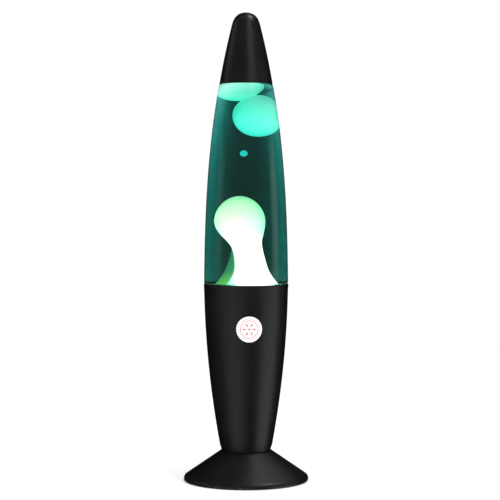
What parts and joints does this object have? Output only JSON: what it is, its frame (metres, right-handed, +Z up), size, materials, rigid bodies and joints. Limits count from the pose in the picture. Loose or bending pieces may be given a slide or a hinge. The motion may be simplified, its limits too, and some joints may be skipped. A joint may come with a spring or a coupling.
{
  "type": "lava lamp",
  "caption": "Rocket-shaped lava lamp: tapered metal base with a flared foot and a bulb inside, a lift-out glass globe of liquid and wax, and a pointed metal cap.",
  "frame": {"origin": "on the surface the lamp stands on, under the middle of the lamp", "axes": "+Z up along the lamp's axis, front (the round label) towards -Y, cord inlet towards +Y"},
  "size_m": [0.0982, 0.0982, 0.368],
  "materials": {
    "paint": "satin black enamel on spun aluminium",
    "plastic": "fine moulded texture",
    "rubber": "matt",
    "silicone": "milky silicone",
    "steel": "zinc plated",
    "brass": "bright",
    "nickel": "nickel plated",
    "tungsten": "drawn wire",
    "phenolic": "moulded",
    "nylon": "natural",
    "black_lead": "insulated wire",
    "white_lead": "insulated wire",
    "label": "coated adhesive label",
    "globe_glass": "clear, blown",
    "bulb_glass": "clear",
    "liquid": "clear teal liquid",
    "wax": "translucent, lit from below"
  },
  "bodies": {
    "base": {"foot_shell": "paint", "cup_shell": "paint", "bottom_plate": "plastic", "cord_inlet_bush": "rubber", "foot_pad_1": "rubber", "foot_pad_2": "rubber", "foot_pad_3": "rubber", "foot_pad_4": "rubber", "plate_screw_1": "steel", "plate_screw_2": "steel", "plate_screw_3": "steel", "terminal_block": "nylon", "block_screw_live": "brass", "block_screw_neutral": "brass", "lead_live": "black_lead", "lead_neutral": "white_lead", "threaded_nipple": "steel", "lock_washer": "steel", "nut_lower": "steel", "nut_upper": "steel", "globe_seat": "steel", "seat_gasket": "silicone", "front_label": "label", "socket_body": "phenolic", "socket_screw_shell": "brass", "socket_contact": "brass", "socket_screw_live": "brass", "socket_screw_neutral": "nickel", "bracket_screw": "steel", "socket_bracket": "steel"},
    "globe": {"glass_globe": "globe_glass", "liquid": "liquid", "wax_column": "wax", "wax_ball": "wax", "wax_top": "wax", "heating_coil": "steel", "crown_cap": "steel", "crown_liner": "nylon"},
    "cap": {"top_cap": "paint"},
    "drop": {"wax_drop": "wax"},
    "bulb_tip": {"bulb_contact": "nickel"},
    "bulb": {"bulb_insulator": "phenolic", "bulb_screw_shell": "nickel", "bulb_glass": "bulb_glass", "bulb_stem": "bulb_glass", "bulb_lead_left": "nickel", "bulb_lead_right": "nickel", "bulb_filament": "tungsten"}
  },
  "joints": [
    {"name": "globe_lift", "type": "slide", "parent": "base", "child": "globe", "axis": [0, 0, 1], "range_m": [0, 0.08]},
    {"name": "cap_lift", "type": "slide", "parent": "globe", "child": "cap", "axis": [0, 0, 1], "range_m": [0, 0.045]},
    {"name": "drop_rise", "type": "slide", "parent": "globe", "child": "drop", "axis": [0, 0, 1], "range_m": [0, 0.008]},
    {"name": "bulb_rise", "type": "slide", "parent": "base", "child": "bulb_tip", "axis": [0, 0, 1], "range_m": [0, 0.0099]},
    {"name": "bulb_turn", "type": "hinge", "parent": "bulb_tip", "child": "bulb", "pos_m": [0, 0, 0.0844], "axis": [0, 0, 1], "range_deg": [0, 1260]}
  ],
  "couplings": [
    {"joint": "bulb_rise", "follows": "bulb_turn", "m_per_rad": 0.00044914}
  ]
}
